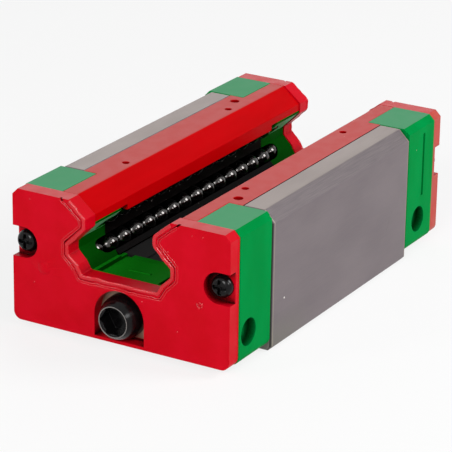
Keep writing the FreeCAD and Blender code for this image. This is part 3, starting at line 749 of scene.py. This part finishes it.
# %% Helper that grows a piece from a tree
def grown(name, tree, inputs, values, body, replaced=None):
    """Make a piece from a Geometry Nodes tree and a set of input values, and return it."""
    piece = bpy.data.objects.new(name, bpy.data.meshes.new(name))
    bpy.context.scene.collection.objects.link(piece)
    modifier = piece.modifiers.new("grow", "NODES")
    modifier.node_group = tree
    for label, value in values.items():
        modifier[inputs[label]] = value
    plain_mesh(piece)
    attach(piece, body)
    if replaced:
        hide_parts(replaced)
    return piece


# %% Make every ball row and turn
ball_radius = 1.9845
ball_pitch = 4.08
balls_in_row = 14
balls_in_turn = 3
turn_radius = 4.0
straight_end = 28.56
return_tilt = math.radians(10)
nose_level = 16.4
row_out = 10.2
row_rise = 3.05
round_ball, coarse_ball = 4, 3
common = {"Ball radius": ball_radius * mm, "Finish": bearing_steel}
first = Vector((-(balls_in_row - 1) / 2 * ball_pitch, 0, 0))
made = 0
for side, side_sign in sides.items():
    for level, level_sign in (("lower", -1), ("upper", 1)):
        out = Vector((0, side_sign * math.cos(return_tilt), level_sign * math.sin(return_tilt)))
        loaded = Vector((0, side_sign * row_out, nose_level + level_sign * row_rise))
        rows = (("loaded", loaded, round_ball), ("return", loaded + out * 2 * turn_radius, coarse_ball))
        for kind, start, roundness in rows:
            name = side + "_" + level + "_" + kind + "_balls"
            values = {"Balls": balls_in_row, "First ball": (start + first) * mm,
                      "Step": (ball_pitch * mm, 0, 0), "Roundness": roundness, **common}
            grown(name + "_polished", row_tree, row_inputs, values, name, name)
            made += balls_in_row
        for end, end_sign in ends.items():
            name = side + "_" + level + "_" + end + "_turn_balls"
            centre = loaded + out * turn_radius + Vector((end_sign * straight_end, 0, 0))
            values = {"Balls": balls_in_turn, "Centre": centre * mm, "Across": -out * turn_radius * mm,
                      "Outward": (end_sign * turn_radius * mm, 0, 0), "Roundness": coarse_ball,
                      "Step angle": math.radians(180 / balls_in_turn), **common}
            grown(name + "_polished", turn_tree, turn_inputs, values, name, name)
            made += balls_in_turn
print("balls made", made)

# %% [markdown]
# ## Wiper lip
# The rubber around the slot ends in a soft rounded lip that wipes the rail. It follows the rail's section
# all the way round, so it is a path with a profile swept along it: another job for Geometry Nodes. The path
# is drawn from the rail's own sizes, its corners are filleted, and a small noise makes the lip wander a
# little, as soft rubber does.

# %% Path of the lip
rail_section = [(0, 12.5), (7.4, 12.5), (8.3, 14.0), (10.0, 15.7), (10.0, 17.1), (6.6, 20.5), (6.6, 22.6),
                (9.643, 25.1)]
lip_top = 24.95


def offset_line(points, distance):
    """Return a line of (y, z) points moved to its right hand side, with mitred corners."""
    moved = []
    for index, here in enumerate(points):
        normals = []
        before = (points[max(index - 1, 0)], here)
        after = (here, points[min(index + 1, len(points) - 1)])
        for start, end in (before, after):
            run = math.hypot(end[0] - start[0], end[1] - start[1])
            if run > 0:
                normals.append(Vector(((end[1] - start[1]) / run, (start[0] - end[0]) / run)))
        total = sum(normals, Vector((0, 0)))
        moved.append(Vector(here) + total * (distance * len(normals) / total.length_squared))
    return moved


def lip_path(distance, x):
    """Return the whole path round the slot at an X in millimetres, from the right leg to the left."""
    half = offset_line(rail_section, distance)
    last = half[-1] - half[-2]
    half[-1] = half[-2] + last * ((lip_top - half[-2].y) / last.y)
    left = [Vector((x, point.x, point.y)) for point in half[1:]]
    right = [Vector((x, -point.y, point.z)) for point in reversed(left)]
    return right + left


print("lip path has", len(lip_path(0.6, 0)), "points")

# %% [markdown]
# The lip tree fillets the path, sweeps an ellipse along it and shifts every point of the sweep by a soft
# noise. The ellipse is Width deep, which is along X, and Height high, which is in the face of the seal. One
# lip and two thinner beads go round the slot. A ridge in the list is a name, its distance from the rail,
# its width, its height, and how far it wanders, in millimetres.

# %% Geometry Nodes tree for the lip
corner_points = 6
path_step = 0.25
profile_points = 16
wander_shares = (0.25, 1.0, 1.0)


def wandering(tree, waves, amount, shares=(1.0, 1.0, 1.0)):
    """Return a soft random shift for each point: noise round zero, times an amount and a share per axis."""
    noise = tree.nodes.new("ShaderNodeTexNoise")
    feed(tree, noise.inputs["Scale"], waves)
    centred = combine_vectors(tree, "SUBTRACT", noise.outputs["Color"], (0.5, 0.5, 0.5))
    return combine_vectors(tree, "SCALE", combine_vectors(tree, "MULTIPLY", centred, shares), amount)


lip_tree, given, result, lip_inputs = begin_tree("wiper_lip", {
    "Path": "Object", "Width": "Float", "Height": "Float", "Corner radius": "Float",
    "Wander": "Float", "Waves per metre": "Float", "Finish": "Material",
})
link = lip_tree.links.new
path = lip_tree.nodes.new("GeometryNodeObjectInfo")
fillet = lip_tree.nodes.new("GeometryNodeFilletCurve")
resample = lip_tree.nodes.new("GeometryNodeResampleCurve")
profile = lip_tree.nodes.new("GeometryNodeCurvePrimitiveCircle")
shape = lip_tree.nodes.new("GeometryNodeTransform")
size = lip_tree.nodes.new("ShaderNodeCombineXYZ")
sweep = lip_tree.nodes.new("GeometryNodeCurveToMesh")
shift = lip_tree.nodes.new("GeometryNodeSetPosition")
fillet.mode = "POLY"
fillet.inputs["Count"].default_value = corner_points
resample.mode = "LENGTH"
resample.inputs["Length"].default_value = path_step * mm
profile.inputs["Resolution"].default_value = profile_points
profile.inputs["Radius"].default_value = 0.5
size.inputs["Z"].default_value = 1.0
sweep.inputs["Fill Caps"].default_value = True
link(given.outputs["Path"], path.inputs["Object"])
link(path.outputs["Geometry"], fillet.inputs["Curve"])
link(given.outputs["Corner radius"], fillet.inputs["Radius"])
link(fillet.outputs["Curve"], resample.inputs["Curve"])
link(given.outputs["Width"], size.inputs["X"])
link(given.outputs["Height"], size.inputs["Y"])
link(profile.outputs["Curve"], shape.inputs["Geometry"])
link(size.outputs["Vector"], shape.inputs["Scale"])
link(resample.outputs["Curve"], sweep.inputs["Curve"])
link(shape.outputs["Geometry"], sweep.inputs["Profile Curve"])
link(sweep.outputs["Mesh"], shift.inputs["Geometry"])
link(wandering(lip_tree, given.outputs["Waves per metre"], given.outputs["Wander"], wander_shares),
     shift.inputs["Offset"])
finish_tree(lip_tree, given, result, shift.outputs["Geometry"])
print("lip inputs", list(lip_inputs))

# %% Make the lips and the beads round them
seal_face = 38.75
lip_sink = 0.05
lip_corner = 0.6
lip_waves = 360.0
ridges = (("lip", 0.42, 0.5, 0.72, 0.75), ("inner_bead", 1.14, 0.36, 0.26, 0.5),
          ("outer_bead", 1.52, 0.22, 0.2, 0.6))


def path_object(name, points):
    """Return a curve object through points given in millimetres."""
    curve = bpy.data.curves.new(name, "CURVE")
    curve.dimensions = "3D"
    spline = curve.splines.new("POLY")
    spline.points.add(len(points) - 1)
    for point, place in zip(spline.points, points):
        point.co = (*(place * mm), 1.0)
    path_piece = bpy.data.objects.new(name, curve)
    bpy.context.scene.collection.objects.link(path_piece)
    return path_piece


for end, end_sign in ends.items():
    for name, distance, width, height, wander in ridges:
        guide_line = path_object(end + "_path", lip_path(distance, end_sign * (seal_face - lip_sink)))
        values = {"Path": guide_line, "Width": width * mm, "Height": height * mm, "Wander": wander * mm,
                  "Corner radius": lip_corner * mm, "Waves per metre": lip_waves,
                  "Finish": moulded["red_lip_finish"]}
        lip = grown(end + "_wiper_" + name, lip_tree, lip_inputs, values, "block")
        bpy.data.objects.remove(guide_line)
        spread = [round(vertex.co.x / mm, 2) for vertex in lip.data.vertices]
        print(lip.name, len(lip.data.polygons), "faces, X from", min(spread), "to", max(spread))

# %% [markdown]
# ## Marks of the mould
# Rubber is pressed into its mould through small gates, and each leaves a rough nub when it is torn off. The
# front of a seal has one clear gate mark under its right screw and some faint pips. They are lumps on given
# points, so one tree makes them: a flattened ball on each point, as large as the point's own size, pushed
# about by noise.

# %% Geometry Nodes tree for the marks
lump_roundness = 4
lump_waves = 2600.0
mark_tree, given, result, mark_inputs = begin_tree("mould_marks", {
    "Places": "Object", "Height share": "Float", "Roughness": "Float", "Finish": "Material",
})
link = mark_tree.links.new
places = mark_tree.nodes.new("GeometryNodeObjectInfo")
size = mark_tree.nodes.new("GeometryNodeInputNamedAttribute")
lump = mark_tree.nodes.new("GeometryNodeMeshIcoSphere")
scale = mark_tree.nodes.new("ShaderNodeCombineXYZ")
put = mark_tree.nodes.new("GeometryNodeInstanceOnPoints")
real = mark_tree.nodes.new("GeometryNodeRealizeInstances")
push = mark_tree.nodes.new("GeometryNodeSetPosition")
size.data_type = "FLOAT"
size.inputs["Name"].default_value = "size"
lump.inputs["Radius"].default_value = 1.0
lump.inputs["Subdivisions"].default_value = lump_roundness
link(given.outputs["Places"], places.inputs["Object"])
link(places.outputs["Geometry"], put.inputs["Points"])
link(lump.outputs["Mesh"], put.inputs["Instance"])
link(product(mark_tree, size.outputs["Attribute"], given.outputs["Height share"]), scale.inputs["X"])
link(size.outputs["Attribute"], scale.inputs["Y"])
link(size.outputs["Attribute"], scale.inputs["Z"])
link(scale.outputs["Vector"], put.inputs["Scale"])
link(put.outputs["Instances"], real.inputs["Geometry"])
link(real.outputs["Geometry"], push.inputs["Geometry"])
link(wandering(mark_tree, lump_waves, given.outputs["Roughness"]), push.inputs["Offset"])
finish_tree(mark_tree, given, result, push.outputs["Geometry"])
print("mark inputs", list(mark_inputs))

# %% [markdown]
# A mark is its Y and Z on the front seal, and its size, in millimetres. The gate mark is a broken ring of
# six lumps, and the pips lie alone. The rear seal is the same moulding turned half round, so there the
# marks have their Y on the other side.

# %% Make the marks
gate_y, gate_z = -15.9, 12.0
gate_half_width, gate_half_height = 0.5, 0.42
gate_lumps = ((0.3, 0.26), (1.5, 0.2), (2.5, 0.3), (3.7, 0.22), (4.9, 0.28), (5.6, 0.16))
pips = [(-11.6, 6.3, 0.18), (18.0, 24.0, 0.16), (-16.3, 24.1, 0.2), (-14.3, 24.0, 0.14), (17.2, 9.0, 0.16),
        (-9.6, 20.2, 0.24), (-8.6, 19.2, 0.14)]
marks = [(gate_y + gate_half_width * math.cos(turn), gate_z + gate_half_height * math.sin(turn), lump_size)
         for turn, lump_size in gate_lumps] + pips


def places_object(name, end_sign):
    """Return a mesh with one point for each mark on the face of a seal, each with its size."""
    spots = [(end_sign * seal_face * mm, -end_sign * y * mm, z * mm) for y, z, lump_size in marks]
    mesh = bpy.data.meshes.new(name)
    mesh.from_pydata(spots, [], [])
    lump_sizes = mesh.attributes.new("size", "FLOAT", "POINT")
    for index, mark in enumerate(marks):
        lump_sizes.data[index].value = mark[2] * mm
    holder = bpy.data.objects.new(name, mesh)
    bpy.context.scene.collection.objects.link(holder)
    return holder


for end, end_sign in ends.items():
    holder = places_object(end + "_mark_places", end_sign)
    values = {"Places": holder, "Height share": 0.8, "Roughness": 0.14 * mm,
              "Finish": moulded["red_lip_finish"]}
    piece = grown(end + "_mould_marks", mark_tree, mark_inputs, values, "block")
    bpy.data.objects.remove(holder)
    print(piece.name, len(marks), "marks", len(piece.data.polygons), "faces")

# %% [markdown]
# ## Floor, light and camera
# The floor and the room are white. A camera or gloss ray that reaches them sees plain white, so the
# background is white without more light on the object, and the steel and the balls reflect it. The light is
# soft: a low white sky, one lamp for the front and one for the right side. A lamp over the right leg makes
# the bright spot in each ball, and a weak one at the front left draws a line of light on the edges that run
# across the block. The last one keeps the rear from going black. All are small, so black parts show sharp
# highlights.

# %% Floor and room
white = (1, 1, 1, 1)
paper_grey = (0.8, 0.8, 0.8, 1)
glow_share = 0.8
sky_strength = 0.2
floor_half = 3.0


def seen_by(tree, *kinds):
    """Return 1 for rays of any of these kinds and 0 for all the others."""
    rays = tree.nodes.new("ShaderNodeLightPath")
    share = rays.outputs["Is " + kinds[0] + " Ray"]
    for kind in kinds[1:]:
        share = combine(tree, "MAXIMUM", share, rays.outputs["Is " + kind + " Ray"])
    return share


def coloured(tree, kind, colour, strength=None):
    """Add a shader of a kind with a colour, and a strength if it glows. Return its output."""
    shader = tree.nodes.new(kind)
    shader.inputs["Color"].default_value = colour
    if strength is not None:
        shader.inputs["Strength"].default_value = strength
    return shader.outputs[0]


def mix_surface(tree, kind, share, under, over):
    """End a tree with a mix of two shaders, which is all over where the share is 1."""
    mix = tree.nodes.new("ShaderNodeMixShader")
    out = tree.nodes.new(kind)
    for index, value in enumerate((share, under, over)):
        tree.links.new(value, mix.inputs[index])
    tree.links.new(mix.outputs[0], out.inputs["Surface"])


def white_room():
    """Set the world: soft light for the object, plain white where it is seen or mirrored."""
    world = bpy.data.worlds.new("white_room")
    bpy.context.scene.world = world
    world.use_nodes = True
    tree = world.node_tree
    tree.nodes.clear()
    light = coloured(tree, "ShaderNodeBackground", white, sky_strength)
    seen = coloured(tree, "ShaderNodeBackground", white, 1.0)
    share = seen_by(tree, "Camera", "Glossy", "Transmission")
    mix_surface(tree, "ShaderNodeOutputWorld", share, light, seen)


def white_floor():
    """Return the floor: pale paper that keeps the object's shadow."""
    mesh = bpy.data.meshes.new("floor")
    corners = [(x * floor_half, y * floor_half, 0) for x, y in ((-1, -1), (1, -1), (1, 1), (-1, 1))]
    mesh.from_pydata(corners, [], [(0, 1, 2, 3)])
    floor = bpy.data.objects.new("floor", mesh)
    bpy.context.scene.collection.objects.link(floor)
    paper = bpy.data.materials.new("white_paper")
    paper.use_nodes = True
    tree = paper.node_tree
    tree.nodes.clear()
    diffuse = coloured(tree, "ShaderNodeBsdfDiffuse", paper_grey)
    glow = coloured(tree, "ShaderNodeEmission", white, 1.0)
    share = product(tree, seen_by(tree, "Camera", "Glossy"), glow_share)
    mix_surface(tree, "ShaderNodeOutputMaterial", share, diffuse, glow)
    mesh.materials.append(paper)
    return floor


white_room()
white_floor()
bpy.context.scene.view_settings.view_transform = "Standard"
print("sky strength", sky_strength)

# %% Lamps
def soft_lamp(name, place, size, power):
    """Add a square lamp that faces the middle of the block, with place and size in metres and its watts."""
    lamp = bpy.data.lights.new(name, "AREA")
    lamp.shape = "SQUARE"
    lamp.size = size
    lamp.energy = power
    piece = bpy.data.objects.new(name, lamp)
    piece.location = place
    piece.rotation_mode = "QUATERNION"
    piece.rotation_quaternion = (block_middle - Vector(place)).to_track_quat("-Z", "Y")
    bpy.context.scene.collection.objects.link(piece)


block_middle = Vector((0, 0, 0.012))
soft_lamp("front_lamp", (-0.6, -0.12, 0.33), size=0.24, power=2.4)
soft_lamp("edge_lamp", (-0.54, 0.32, 0.3), size=0.12, power=0.6)
soft_lamp("side_lamp", (-0.16, -0.56, 0.32), size=0.16, power=1.0)
soft_lamp("ball_lamp", (0.16, -0.37, 0.31), size=0.19, power=1.6)
soft_lamp("rear_lamp", (0.5, 0.36, 0.3), size=0.4, power=0.6)

# %% [markdown]
# The camera stands where the photographer's camera stood. Known sizes of the block and their places in the
# picture give its direction, its distance and its lens.

# %% Camera
camera_place = Vector((-376.0, -216.75, 176.52))
heading = math.radians(30.178)
dip = math.radians(20.959)
roll = math.radians(0.917)
camera_data = bpy.data.cameras.new("camera")
camera_data.sensor_width = 36.0
camera_data.lens = 204.94
camera_data.clip_start = 0.01
camera_data.clip_end = 10.0
camera = bpy.data.objects.new("camera", camera_data)
look = Vector((math.cos(dip) * math.cos(heading), math.cos(dip) * math.sin(heading), -math.sin(dip)))
camera.rotation_mode = "QUATERNION"
camera.rotation_quaternion = look.to_track_quat("-Z", "Y") @ Quaternion((0, 0, 1), roll)
camera.location = camera_place * mm
bpy.context.scene.collection.objects.link(camera)
bpy.context.scene.camera = camera
print("camera at mm", [round(value / mm, 1) for value in camera.location])
